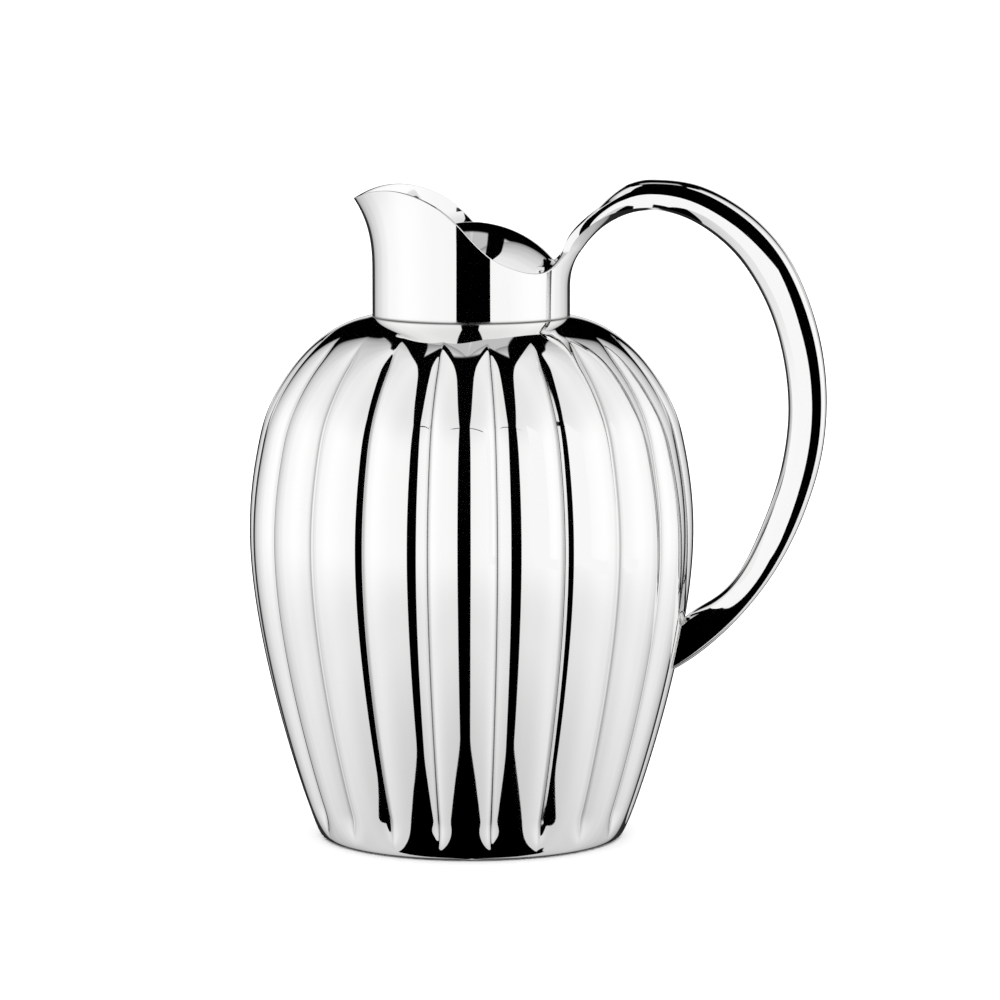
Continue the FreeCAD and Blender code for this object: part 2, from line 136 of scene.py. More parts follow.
# %%
def b_spline(poles, t):
    """Clamped cubic B-spline with even knots: each pole weighted by its blending function at t."""
    poles = np.asarray(poles, dtype=float)
    knots = np.concatenate([[0.0] * 3, np.linspace(0.0, 1.0, len(poles) - 2), [1.0] * 3])
    t = np.clip(np.asarray(t, dtype=float), 0.0, 1.0 - 1e-9)[:, None]
    weights = ((knots[:-1] <= t) & (t < knots[1:])).astype(float)
    for degree in (1, 2, 3):
        left = knots[degree:-1] - knots[:-degree - 1]
        right = knots[degree + 1:] - knots[1:-degree]
        rise = np.divide(t - knots[:-degree - 1], left, out=np.zeros((len(t), len(left))), where=left > 0)
        fall = np.divide(knots[degree + 1:] - t, right, out=np.zeros((len(t), len(right))), where=right > 0)
        weights = rise * weights[:, :-1] + fall * weights[:, 1:]
    return weights @ poles


def through(at, values, t):
    """Natural cubic spline through values given at increasing `at`, read at t."""
    at, values = np.asarray(at, dtype=float), np.asarray(values, dtype=float)
    h, n = np.diff(at), len(at)
    system, load = np.eye(n), np.zeros((n,) + values.shape[1:])
    inner = np.arange(1, n - 1)
    system[inner, inner - 1] = h[:-1]
    system[inner, inner] = 2.0 * (h[:-1] + h[1:])
    system[inner, inner + 1] = h[1:]
    slope = np.diff(values, axis=0) / h.reshape((-1,) + (1,) * (values.ndim - 1))
    load[1:-1] = 6.0 * np.diff(slope, axis=0)
    bend = np.linalg.solve(system, load)
    t = np.clip(np.asarray(t, dtype=float), at[0], at[-1])
    k = np.clip(np.searchsorted(at, t, side="right") - 1, 0, n - 2)
    shape = t.shape + (1,) * (values.ndim - 1)
    a, b, hk = (at[k + 1] - t).reshape(shape), (t - at[k]).reshape(shape), h[k].reshape(shape)
    return ((a ** 3 * bend[k] + b ** 3 * bend[k + 1]) / (6 * hk)
            + (values[k] / hk - bend[k] * hk / 6) * a + (values[k + 1] / hk - bend[k + 1] * hk / 6) * b)


# %% [markdown]
# ## The ribbed casing
# The casing is pressed from one sheet into twenty convex ribs with sharp valleys, which fade into a smooth
# cove under the neck and a smooth roll at the foot. It could be sculpted, or one rib could be copied round
# with an Array modifier, but the joints between copies would show in the polish. A formula has no joints:
# the crest outline gives a radius for each height, and an elliptical arch between valleys sinks it.

# %%
LOBES = 20
LOBE_DEPTH = 0.0415          # valley depth as a share of the crest radius
ARCH_K = 0.953               # how full the arch of one rib is: 1 would be a whole half ellipse
VALLEY_ROUND = 0.035         # small radius at the bottom of a valley, as a share of half a rib
SHELL_T = 0.6
FADE_FOOT = (1.5, 12.0)      # height where the ribs begin, and over how much height they grow
FADE_NECK = (165.0, 10.5)    # height where they begin to sink again, and over how much height
SHELL_POLES = [(51.3, 0.6), (53.5, 0.6), (68.26, 44.68), (78.51, 101.77),
               (72.96, 137.02), (68.46, 153.34), (49.36, 176.78), (33.7, 179.0)]


def crest_outline(t, inset=0.0):
    """Radius and height of the rib crests at t, moved inwards along the outline's normal by inset."""
    step = 1e-4
    p = b_spline(SHELL_POLES, t)
    d = b_spline(SHELL_POLES, np.minimum(t + step, 1.0)) - b_spline(SHELL_POLES, np.maximum(t - step, 0.0))
    d /= np.linalg.norm(d, axis=1)[:, None]
    return p[:, 0] - inset * d[:, 1], p[:, 1] + inset * d[:, 0]


def rib_share(angle):
    """How far an angle lies from its crest (0) to the valley (1), rounded off just at the valley."""
    pitch = 2.0 * math.pi / LOBES
    t = np.abs((angle + pitch / 2.0) % pitch - pitch / 2.0) / (pitch / 2.0)
    return 1.0 - np.sqrt((1.0 - t) ** 2 + VALLEY_ROUND ** 2) + VALLEY_ROUND * t


def rib_fade(z):
    """1 where the ribs are full, falling to 0 in the cove under the neck and in the roll at the foot."""
    grown = smoothstep((z - FADE_FOOT[0]) / FADE_FOOT[1])
    sunk = smoothstep((z - FADE_NECK[0]) / FADE_NECK[1])
    return grown * (1.0 - sunk)


def rib_factor(angle, z):
    """Share of the crest radius left at this angle and height: one minus depth times arch times fade."""
    arch = (1.0 - np.sqrt(1.0 - (ARCH_K * rib_share(angle)) ** 2)) / (1.0 - math.sqrt(1.0 - ARCH_K ** 2))
    return 1.0 - LOBE_DEPTH * arch * rib_fade(z)


def rib_angles(per_rib):
    """Angles round the body, closer together towards the valleys."""
    top = math.asin(ARCH_K)
    steps = np.sin(np.linspace(-top, top, per_rib, endpoint=False)) / ARCH_K * (math.pi / LOBES)
    return (np.arange(LOBES)[:, None] * 2.0 * math.pi / LOBES + steps[None, :]).ravel()


def ring_points(angle, radius, z):
    """Points of a grid whose rows lie round the axis: radius and height may change with the angle."""
    angle, radius, z = np.broadcast_arrays(angle, radius, z)
    return np.stack([radius * np.cos(angle), radius * np.sin(angle), z], axis=-1)


def make_outer_shell():
    angle = rib_angles(20)[None, :]
    outside = np.linspace(0.0, 1.0, 190)
    inside = np.linspace(1.0, 0.0, 30)
    rows = []
    for t, inset in ((outside, 0.0), (inside, SHELL_T)):
        r, z = crest_outline(t, inset)
        rows.append(ring_points(angle, r[:, None] * rib_factor(angle, z[:, None]), z[:, None]))
    points = np.concatenate(rows)
    n, m = points.shape[:2]
    sharp = np.concatenate([sharp_ring(k, m) for k in (0, len(outside) - 1, len(outside), n - 1)])
    return new_piece("outer_shell_polished", points.reshape(-1, 3), grid_faces(n, m, True), sharp=sharp)


shell = make_outer_shell()
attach(shell, "jug")
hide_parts("outer_shell")

# %% [markdown]
# ## The collar and its pouring lip
# The collar is a drawn tube. Its front leans out into a V-shaped lip, its rim dips at the sides, and its back
# wall swells outwards and runs on up into the handle with no seam. A boolean cut would leave a hard,
# uneven rim, so the rim is a formula too: for each angle, the wall runs up to the rim's own height, turns
# over two small radii and comes down inside. At the back it stops at a short level edge, where the handle
# takes over with the very same section.

# %%
NECK_Z = 179.0
COLLAR_R = 33.7
COLLAR_T = 1.2
SPOUT_FLARE = 6.3                     # how far the middle of the lip leans out, 25 mm above FLARE_FROM
FLARE_FROM = 194.0
RIM_ROUND = 0.4
OUTSIDE_ROWS = 80
TURN_ROWS = 5                         # rows of each of the two small radii of the rim
SEAM_ANGLE = math.radians(16.0)       # half width of the level edge that the handle grows from
SWELL = 4.0                           # how far the back wall swells out at that edge
SWELL_WIDTH = math.radians(14.6)
SWELL_FROM = 188.0
RIM = [(-48.0, 217.3), (-40.2, 219.2), (-36.3, 221.0), (-31.9, 222.3), (-25.5, 222.7), (-19.2, 221.5),
       (-14.8, 219.9), (-9.4, 217.0), (-5.2, 213.7), (-1.7, 210.3), (1.2, 207.1), (4.5, 203.8),
       (8.6, 200.4), (14.2, 197.5), (19.2, 195.8), (23.4, 195.2), (27.0, 196.0), (29.8, 198.2),
       (32.4, 201.6), (34.5, 205.5)]
RIM_X, RIM_Z = np.array(RIM).T


def from_back(angle):
    """Angle measured from the handle side, between minus and plus half a turn."""
    return (angle + math.pi) % (2.0 * math.pi) - math.pi


def lip_lean(angle, z):
    """How far the front wall leans out: nothing below the lip, then quickly more, and most at the middle."""
    side = math.pi - np.abs(from_back(angle))
    side = np.sqrt(side ** 2 + math.radians(1.6) ** 2) - math.radians(1.6)
    return (SPOUT_FLARE * np.maximum((z - FLARE_FROM) / 25.0, 0.0) ** 2.6
            * np.exp(-(side / math.radians(24.0)) ** 1.25))


SEAM_Z = float(through(RIM_X, RIM_Z, np.array([COLLAR_R * math.cos(SEAM_ANGLE)]))[0])


def back_swell(angle, z):
    """How far the back wall stands out beyond the tube, towards the handle."""
    rise = np.maximum((z - SWELL_FROM) / (SEAM_Z - SWELL_FROM), 0.0) ** 2.6
    return SWELL * rise * np.exp(-(from_back(angle) / SWELL_WIDTH) ** 2)


def collar_outside(angle, z):
    """Radius of the outer face."""
    return COLLAR_R + lip_lean(angle, z) + back_swell(angle, z)


def collar_inside(angle, z):
    """Radius of the inner face, which follows the lip but not the swelling at the back."""
    return COLLAR_R - COLLAR_T + lip_lean(angle, z)


def rim_height(angle):
    """Height of the rim: read from its side view where the wall stands, found by repeated substitution."""
    z = np.full_like(angle, 215.0)
    for _ in range(60):
        x = (COLLAR_R + lip_lean(angle, z)) * np.cos(angle)
        z = 0.5 * z + 0.5 * through(RIM_X, RIM_Z, x)
    return np.where(np.abs(from_back(angle)) < SEAM_ANGLE, SEAM_Z, z)


def collar_angles():
    """Angles round the collar, closest together at the lip, with both ends of the level edge among them."""
    half = np.append(math.pi * np.linspace(0.0, 1.0, 151) ** 1.3, math.pi - SEAM_ANGLE)
    half = np.unique(half)
    return np.sort(np.concatenate([math.pi - half, math.pi + half[1:-1]]))


def make_collar():
    """Up the outside, over the rim, down the inside, and back along the spigot that sits in the casing."""
    angle = collar_angles()[None, :]
    top = rim_height(angle)
    small = RIM_ROUND * smoothstep((np.abs(from_back(angle)) - SEAM_ANGLE) / math.radians(5.0)) + 0.01
    rows = []
    rise = np.sin(np.linspace(0.0, 1.0, OUTSIDE_ROWS) * math.pi / 2.0)[:, None]
    z = NECK_Z + rise * (top - small - NECK_Z)
    rows.append(ring_points(angle, collar_outside(angle, z), z))
    turn = np.linspace(0.0, math.pi / 2.0, TURN_ROWS + 1)[1:, None]
    z = top - small + small * np.sin(turn)
    rows.append(ring_points(angle, collar_outside(angle, top) - small + small * np.cos(turn), z))
    z = top - small + small * np.cos(turn - turn[0])
    rows.append(ring_points(angle, collar_inside(angle, top) + small - small * np.sin(turn - turn[0]), z))
    fall = 1.0 - np.cos(np.linspace(0.0, 1.0, 50) * math.pi / 2.0)[1:, None]
    z = top - small - fall * (top - small - NECK_Z)
    rows.append(ring_points(angle, collar_inside(angle, z), z))
    for r, z in ((31.2, NECK_Z - 0.2), (31.2, 171.0), (33.1, 171.0), (33.1, NECK_Z - 0.02)):
        rows.append(ring_points(angle, np.full_like(angle, r), np.full_like(angle, z)))
    points = np.concatenate(rows)
    n, m = points.shape[:2]
    sharp = np.concatenate([sharp_ring(k, m) for k in (0, n - 5, n - 4, n - 3, n - 2, n - 1)])
    seam = [k for k in range(m) if abs(from_back(angle[0, k])) <= SEAM_ANGLE + 1e-6]
    rim_row = OUTSIDE_ROWS + TURN_ROWS
    edges = [np.array([[row * m + k, row * m + (k + 1) % m] for k in seam[:-1]])
             for row in (rim_row - 1, rim_row)]
    return new_piece("collar_polished", points.reshape(-1, 3), grid_faces(n, m, True),
                     sharp=np.concatenate([sharp] + edges))


collar = make_collar()
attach(collar, "jug")
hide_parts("collar")

# %% [markdown]
# ## The loop handle
# The handle is a solid casting with a D-shaped section: a shallow arched underside between two fine edges,
# and a full round back. Sweeping one profile along a curve object would give it the same section all the
# way, but here every measure changes: it leaves the collar as a bent strip as thin as the wall, thickens
# over the loop and ends in a leaf that lies on a rib. So the section is a formula whose depth, width and
# shape are smooth functions of the way along. Where a line of the surface would enter the casing it
# is cut off at the rib's surface, which gives the foot its leaf outline.

# %%
# Stations along the loop: (x, z) of the outer line, (x, z) of the inner line, half width across.
HANDLE = [((34.1, 206.6), (39.4, 203.9), 9.0),
          ((37.7, 211.7), (43.2, 208.0), 8.8),
          ((43.8, 218.5), (48.6, 211.8), 8.6),
          ((52.5, 224.2), (54.8, 214.3), 8.4),
          ((63.5, 225.5), (62.8, 215.0), 8.2),
          ((76.0, 223.9), (72.5, 212.7), 8.2),
          ((87.9, 218.6), (81.5, 207.6), 8.3),
          ((97.1, 211.9), (88.6, 201.5), 8.4),
          ((106.3, 201.7), (95.3, 192.9), 8.5),
          ((113.5, 188.1), (101.4, 181.3), 8.6),
          ((118.2, 174.0), (105.2, 169.6), 8.6),
          ((120.6, 160.8), (107.3, 158.6), 8.6),
          ((121.2, 147.1), (108.1, 146.6), 8.6),
          ((119.9, 133.4), (107.2, 135.0), 8.5),
          ((115.8, 117.5), (104.2, 121.0), 8.4),
          ((109.0, 101.0), (98.8, 106.0), 8.2),
          ((99.2, 85.1), (91.5, 91.0), 8.1),
          ((89.0, 73.2), (83.6, 82.6), 8.0),
          ((78.6, 63.9), (74.6, 76.6), 7.8),
          ((69.4, 57.9), (65.4, 67.0), 7.4),
          ((62.0, 54.0), (58.0, 60.0), 7.2)]
UNDERSIDE_ARCH = 1.0
EDGE_SHARE = 0.78             # width at the two edges next to the hand, as a share of the full width
FOOT_EDGE_SHARE = 0.97        # the same at the foot, where the flanks are all but flat
WIDEST = 0.72                 # height of the widest place, as a share of the depth
FLANK_SHARE = 0.45            # share of the back's points that lie on the flanks
PAD_T = 0.4
UNDER_POINTS = 26
BACK_POINTS = 74
ROOT_MORPH = 0.14             # share of the handle over which the strip becomes the D section
FLATTENS = (0.86, 0.1)        # share at which the underside's arch begins to flatten, and over how much
ARCH_LEFT = 0.3               # height of the arch that is left at the foot
SPREADS = (0.78, 0.14)        # share at which the edges begin to spread to the full width, and over how much
FINE_STEPS = 1600             # steps along the surface before it is cut at the casing
HANDLE_RINGS = 330            # rings along it afterwards
LEANS_FROM = 0.55             # share of the way from which the rings lean over towards the cut


def root_section():
    """The collar's level edge as (across, height) pairs, with the height measured inwards."""
    under = np.linspace(-SEAM_ANGLE, SEAM_ANGLE, UNDER_POINTS)
    outer = collar_outside(under, SEAM_Z)
    turn = np.linspace(1.0, -1.0, BACK_POINTS + 2)[1:-1]
    flank = np.clip((1.0 - np.abs(turn)) / FLANK_SHARE, 0.0, 1.0)
    back = np.sign(turn) * SEAM_ANGLE * np.minimum(np.abs(turn) / (1.0 - FLANK_SHARE), 1.0)
    wall = collar_outside(np.sign(turn) * SEAM_ANGLE, SEAM_Z) * (1.0 - flank) + (COLLAR_R - COLLAR_T) * flank
    r, a = np.concatenate([outer, wall]), np.concatenate([under, back])
    reach = COLLAR_R + SWELL
    return np.stack([r * np.sin(a), reach - r * np.cos(a)], axis=1)


def d_section(depth, half, arch, edge):
    """Underside a parabola between the edges; flanks spread by a power 1.9; back y = (1 - h^6)^(1/2)."""
    y = np.linspace(-1.0, 1.0, UNDER_POINTS)[None, :]
    under = np.stack([y * half * edge, arch * y ** 2], axis=-1)
    turn = np.linspace(1.0, -1.0, BACK_POINTS + 2)[1:-1][None, :]
    on_flank = np.clip((1.0 - np.abs(turn)) / FLANK_SHARE, 0.0, 1.0)
    on_back = np.clip(np.abs(turn) / (1.0 - FLANK_SHARE), 0.0, 1.0)
    spread = edge + (1.0 - edge) * (1.0 - (1.0 - on_flank) ** 1.9)
    bend = (1.0 - (1.0 - on_back) ** 3) * math.pi / 2.0
    across = np.where(on_flank < 1.0, spread, np.sin(bend))
    widest = WIDEST * depth
    up = np.where(on_flank < 1.0, arch + (widest - arch) * on_flank,
                  widest + (depth - widest) * np.clip(np.cos(bend), 0.0, 1.0) ** (1.0 / 3.0))
    return np.concatenate([under, np.stack([np.sign(turn) * half * across, up], axis=-1)], axis=1)


def handle_lines(steps):
    """Outer line, inner line and half width at even steps along the handle, through the stations."""
    outer = np.array([(COLLAR_R - COLLAR_T, SEAM_Z)] + [h[0] for h in HANDLE])
    inner = np.array([(COLLAR_R + SWELL, SEAM_Z)] + [h[1] for h in HANDLE])
    half = np.array([COLLAR_R * math.sin(SEAM_ANGLE)] + [h[2] for h in HANDLE])
    middle = 0.5 * (outer + inner)
    way = np.concatenate([[0.0], np.cumsum(np.linalg.norm(np.diff(middle, axis=0), axis=1))])
    way /= way[-1]
    t = np.linspace(0.0, 1.0, steps)
    return t, through(way, outer, t), through(way, inner, t), through(way, half, t)


def inside_shell(points, gap):
    """Positive where a point lies inside the casing's surface grown by gap."""
    r, z = crest_outline(np.linspace(0.0, 1.0, 1500))
    angle = np.arctan2(points[..., 1], points[..., 0])
    surface = np.interp(points[..., 2], z, r) * rib_factor(angle, points[..., 2]) + gap
    return surface - np.hypot(points[..., 0], points[..., 1])


def on_shell(points, gap):
    """The same points moved straight out from the axis onto the casing's surface grown by gap."""
    depth = inside_shell(points, gap)
    r = np.hypot(points[..., 0], points[..., 1])
    out = points.copy()
    out[..., :2] *= ((r + depth) / r)[..., None]
    return out


def handle_surface(steps):
    """Section placed at each step: inner line plus height along the direction from inner to outer line."""
    t, outer, inner, half = handle_lines(steps)
    depth = np.linalg.norm(outer - inner, axis=1)
    up = (outer - inner) / depth[:, None]
    arch = UNDERSIDE_ARCH * (1.0 - smoothstep((t - FLATTENS[0]) / FLATTENS[1])) + ARCH_LEFT
    spread = smoothstep((t - SPREADS[0]) / SPREADS[1])
    edge = EDGE_SHARE + (FOOT_EDGE_SHARE - EDGE_SHARE) * spread
    section = d_section(depth[:, None], half[:, None], arch[:, None], edge[:, None])
    mix = smoothstep(t / ROOT_MORPH)[:, None, None]
    section = root_section()[None] * (1.0 - mix) + section * mix
    across, height = section[..., 0], section[..., 1]
    x = inner[:, None, 0] + up[:, None, 0] * height
    z = inner[:, None, 1] + up[:, None, 1] * height
    return np.stack([x, across, z], axis=-1)


def cut_at_shell(points, rings):
    """Each lengthwise line cut off where it enters the casing, then read again at even shares."""
    depth = inside_shell(points, PAD_T)
    half_way = len(points) // 2
    hit = half_way + np.argmax(depth[half_way:] > 0.0, axis=0)
    line = np.arange(points.shape[1])
    before, after = depth[hit - 1, line], depth[hit, line]
    end = hit - 1 + before / (before - after)
    share = np.linspace(0.0, 1.0, rings)[:, None]
    joined = smoothstep((share - LEANS_FROM) / (1.0 - LEANS_FROM))
    at = share * ((1.0 - joined) * end.max() + joined * end[None, :])
    low = np.clip(at.astype(int), 0, len(points) - 2)
    rest = (at - low)[..., None]
    return points[low, line[None, :]] * (1.0 - rest) + points[low + 1, line[None, :]] * rest


def make_handle():
    """The swept surface, cut at the casing and closed by a sole on it and a flat face in the collar."""
    points = cut_at_shell(handle_surface(FINE_STEPS), HANDLE_RINGS)
    foot = points[-1]
    n, m = points.shape[:2]
    centre = foot.mean(axis=0)
    shrink = np.linspace(1.0, 0.06, 12)[1:, None, None]
    sole = on_shell(centre + (foot[None] - centre) * shrink, PAD_T)
    grid = np.concatenate([points, sole])
    rows = len(grid)
    middle = on_shell(centre[None, :], PAD_T)
    root = points[0].mean(axis=0)[None, :]
    flat = np.concatenate([grid.reshape(-1, 3), middle, root])
    c = np.arange(m)
    last = (rows - 1) * m
    fan = np.stack([last + c, last + (c + 1) % m, np.full(m, rows * m)], axis=1)
    cap = np.stack([(c + 1) % m, c, np.full(m, rows * m + 1)], axis=1)
    row = np.arange(n - 1)
    edge_lines = [np.stack([row * m + k, (row + 1) * m + k], axis=1) for k in (0, UNDER_POINTS - 1)]
    sharp = np.concatenate([sharp_ring(0, m), sharp_ring(n - 1, m)] + edge_lines)
    piece = new_piece("handle_polished", flat, grid_faces(rows, m, False),
                      triangles=np.concatenate([fan, cap]), sharp=sharp)
    return piece, foot


handle, foot_line = make_handle()
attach(handle, "jug")
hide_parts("handle")

# %% [markdown]
# The pad under the foot is a gasket cut to the same leaf. It has the foot's outline on top and the rib's
# surface below, so it is made from the foot's own last ring, dropped onto the casing.

# %%
PAD_GAP = 0.02                # clearance of the pad from the casing and from the foot


def make_foot_pad():
    """Top and bottom follow the casing at two heights; the rim joins them along the foot's outline."""
    m = len(foot_line)
    centre = foot_line.mean(axis=0)
    shrink = np.linspace(1.0, 0.06, 10)[:, None, None]
    leaf = centre + (foot_line[None] - centre) * shrink
    top, bottom = on_shell(leaf, PAD_T - PAD_GAP), on_shell(leaf, PAD_GAP)[::-1]
    grid = np.concatenate([bottom, top])
    rows = len(grid)
    ends = np.concatenate([on_shell(centre[None, :], gap) for gap in (PAD_GAP, PAD_T - PAD_GAP)])
    c = np.arange(m)
    last = (rows - 1) * m
    fans = [np.stack([(c + 1) % m, c, np.full(m, rows * m)], axis=1),
            np.stack([last + c, last + (c + 1) % m, np.full(m, rows * m + 1)], axis=1)]
    flat = np.concatenate([grid.reshape(-1, 3), ends])
    sharp = np.concatenate([sharp_ring(rows // 2 - 1, m), sharp_ring(rows // 2, m)])
    return new_piece("foot_pad_gasket", flat, grid_faces(rows, m, False),
                     triangles=np.concatenate(fans), sharp=sharp)


foot_pad = make_foot_pad()
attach(foot_pad, "jug")
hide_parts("foot_pad")

# %% [markdown]
# ## The lid's dome
# The dome is a spun cap: part of a sphere, turned down into a short skirt. A mesh sphere cut by a plane would
# have uneven faces at its edge, so the outline is turned about the axis instead, with its points on the
# sphere, round the lip and back up inside.

# %%
DOME_R = 37.4
DOME_Z = 173.6
DOME_EDGE_R = 31.5
DOME_T = 0.8
DOME_LIP = 0.5
SKIRT_Z = 190.5


def turned_piece(name, outline, columns):
    """Solid of revolution of an outline of (radius, height) that starts and ends on the axis."""
    angle = np.linspace(0.0, 2.0 * math.pi, columns, endpoint=False)[None, :]
    rings = ring_points(angle, outline[1:-1, :1], outline[1:-1, 1:])
    rows = len(rings)
    poles = np.array([[0.0, 0.0, outline[0, 1]], [0.0, 0.0, outline[-1, 1]]])
    c = np.arange(columns)
    last = (rows - 1) * columns
    first_fan = np.stack([(c + 1) % columns, c, np.full(columns, rows * columns)], axis=1)
    last_fan = np.stack([last + c, last + (c + 1) % columns, np.full(columns, rows * columns + 1)], axis=1)
    return new_piece(name, np.concatenate([rings.reshape(-1, 3), poles]), grid_faces(rows, columns, False),
                     triangles=np.concatenate([first_fan, last_fan]))


def dome_outline():
    """Sphere from the top to the edge, a small roll into the skirt, the skirt's foot, and back inside."""
    reach = math.asin((DOME_EDGE_R - 0.25) / DOME_R)
    a = np.linspace(0.0, reach, 90)
    outer = np.stack([DOME_R * np.sin(a), DOME_Z + DOME_R * np.cos(a)], axis=1)
    turn = np.linspace(reach, math.pi / 2.0, 8)[1:]
    start = outer[-1] - DOME_LIP * np.array([math.sin(reach), math.cos(reach)])
    roll = np.stack([start[0] + DOME_LIP * np.sin(turn), start[1] + DOME_LIP * np.cos(turn)], axis=1)
    edge_r = roll[-1, 0]
    foot = np.array([(edge_r, SKIRT_Z + 0.2), (edge_r - 0.2, SKIRT_Z), (edge_r - DOME_T + 0.2, SKIRT_Z),
                     (edge_r - DOME_T, SKIRT_Z + 0.2)])
    inner_r = DOME_R - DOME_T
    inner_reach = math.asin((edge_r - DOME_T) / inner_r)
    a = np.linspace(inner_reach, 0.0, 40)
    inner = np.stack([inner_r * np.sin(a), DOME_Z + inner_r * np.cos(a)], axis=1)
    inner[-1, 0] = 0.0
    return np.concatenate([outer, roll, foot, inner])


dome = turned_piece("lid_dome_polished", dome_outline(), 256)
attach(dome, "lid")
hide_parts("lid_dome")

# %% [markdown]
# ## Painted shade in the valleys and at the joint
# The bottom of each valley and the fine joint between collar and casing are darkened in the steel's colour:
# painted shade, standing in for the dark that a crease and a groove show in a mirror. It could be found
# from the mesh's curvature, but that depends on how finely the mesh is cut. The distance from the valley
# line and from the joint is known, so each vertex simply gets a share of painted shade that falls off with
# that distance.

# %%
PAINTED_SHADE_WIDTH = 0.45          # distance at which the painted shade has fallen to about a third
VALLEY_SHARE = 0.55


def vertex_points(obj):
    """Vertex positions in millimetres."""
    points = np.empty(len(obj.data.vertices) * 3)
    obj.data.vertices.foreach_get("co", points)
    return points.reshape(-1, 3) / MM


def mark_painted_shade(obj, share):
    """Store one share of painted shade per vertex as the attribute that the finish reads."""
    layer = obj.data.attributes.new("painted_shade", "FLOAT", "POINT")
    layer.data.foreach_set("value", np.ascontiguousarray(share, dtype=np.float32))


def near(distance):
    """exp(-(d / w)^2)."""
    return np.exp(-(distance / PAINTED_SHADE_WIDTH) ** 2)


def shell_painted_shade():
    """Painted shade: nearness to the closest valley line, only where there are ribs."""
    x, y, z = vertex_points(shell).T
    pitch = 2.0 * math.pi / LOBES
    to_valley = np.abs(np.mod(np.arctan2(y, x), pitch) - 0.5 * pitch) * np.hypot(x, y)
    return VALLEY_SHARE * near(to_valley) * rib_fade(z)


# Painted shade in the casing's valleys and along the collar's joint with the casing.
mark_painted_shade(shell, shell_painted_shade())
mark_painted_shade(collar, near(vertex_points(collar)[:, 2] - NECK_Z))
print("residue on the casing, mean share:", round(float(shell_painted_shade().mean()), 4))

# %% [markdown]
# ## Building materials from nodes
# Materials and the sky are trees of nodes. Two small classes keep the trees readable: one names the few kinds
# of node that are needed, and the other starts a material from a principled shader and from noise on the
# piece's own coordinates, which stays sharp at any distance where a painted image would blur and repeat.

# %%
class Graph:
    """Short names for building a tree of shader nodes."""

    def __init__(self, tree):
        self.tree = tree
        tree.nodes.clear()

    def node(self, kind, inputs=None, **settings):
        """New node: a socket given for an input is linked to it, and any other value is set on it."""
        node = self.tree.nodes.new(kind)
        for name, value in settings.items():
            setattr(node, name, value)
        for name, value in (inputs or {}).items():
            if isinstance(value, bpy.types.NodeSocket):
                self.tree.links.new(value, node.inputs[name])
            else:
                node.inputs[name].default_value = value
        return node

    def calc(self, operation, *values):
        return self.node("ShaderNodeMath", dict(enumerate(values)), operation=operation).outputs["Value"]

    def product(self, first, *others):
        for other in others:
            first = self.calc("MULTIPLY", first, other)
        return first

    def ramp(self, value, stops):
        """Level that passes smoothly through (position, level) stops."""
        n = self.node("ShaderNodeValToRGB", {"Fac": value})
        n.color_ramp.interpolation = "EASE"
        elements = n.color_ramp.elements
        while len(elements) < len(stops):
            elements.new(0.5)
        for element, (at, level) in zip(elements, stops):
            element.position = at
            element.color = (level, level, level, 1.0)
        return n.outputs["Color"]

    def fade(self, value, low, high):
        """0 below low and 1 above high; the other way round if low is the larger."""
        n = self.node("ShaderNodeMapRange", {"Value": value, "From Min": low, "From Max": high},
                      interpolation_type="SMOOTHSTEP")
        return n.outputs["Result"]

    def parts(self, vector):
        n = self.node("ShaderNodeSeparateXYZ", {"Vector": vector})
        return [n.outputs[k] for k in "XYZ"]


class Finish(Graph):
    """A principled material in the making, with noise on the piece's own coordinates."""

    def __init__(self, name):
        self.material = bpy.data.materials.new(name)
        self.material.use_nodes = True
        super().__init__(self.material.node_tree)
        self.shader = self.node("ShaderNodeBsdfPrincipled")
        self.node("ShaderNodeOutputMaterial", {"Surface": self.shader.outputs["BSDF"]})
        self.coordinates = self.node("ShaderNodeTexCoord").outputs["Object"]

    def set(self, **values):
        for name, value in values.items():
            self.shader.inputs[name.replace("_", " ")].default_value = value

    def steer(self, name, value):
        self.tree.links.new(value, self.shader.inputs[name])

    def place(self, stretch):
        """Object coordinates in metres, stretched along each axis."""
        n = self.node("ShaderNodeMapping", {"Vector": self.coordinates, "Scale": stretch})
        return n.outputs["Vector"]

    def noise(self, stretch, scale, detail):
        n = self.node("ShaderNodeTexNoise", {"Vector": self.place(stretch), "Scale": scale, "Detail": detail,
                                             "Roughness": 0.55})
        return n.outputs["Fac"]

    def between(self, value, low, high, from_low=0.3, from_high=0.7):
        n = self.node("ShaderNodeMapRange", {"Value": value, "From Min": from_low, "From Max": from_high,
                                             "To Min": low, "To Max": high})
        return n.outputs["Result"]

    def colour(self, share, first, second):
        """Base colour that goes from first to second as the share goes from 0 to 1."""
        n = self.node("ShaderNodeMix", {0: share, 6: first + (1.0,), 7: second + (1.0,)}, data_type="RGBA")
        self.steer("Base Color", n.outputs[2])

    def bump(self, height, depth):
        n = self.node("ShaderNodeBump", {"Height": height, "Distance": depth, "Strength": 1.0})
        self.steer("Normal", n.outputs["Normal"])


EVEN = (1.0, 1.0, 1.0)


def scaled(colour, factor):
    return tuple(min(factor * c, 1.0) for c in colour)
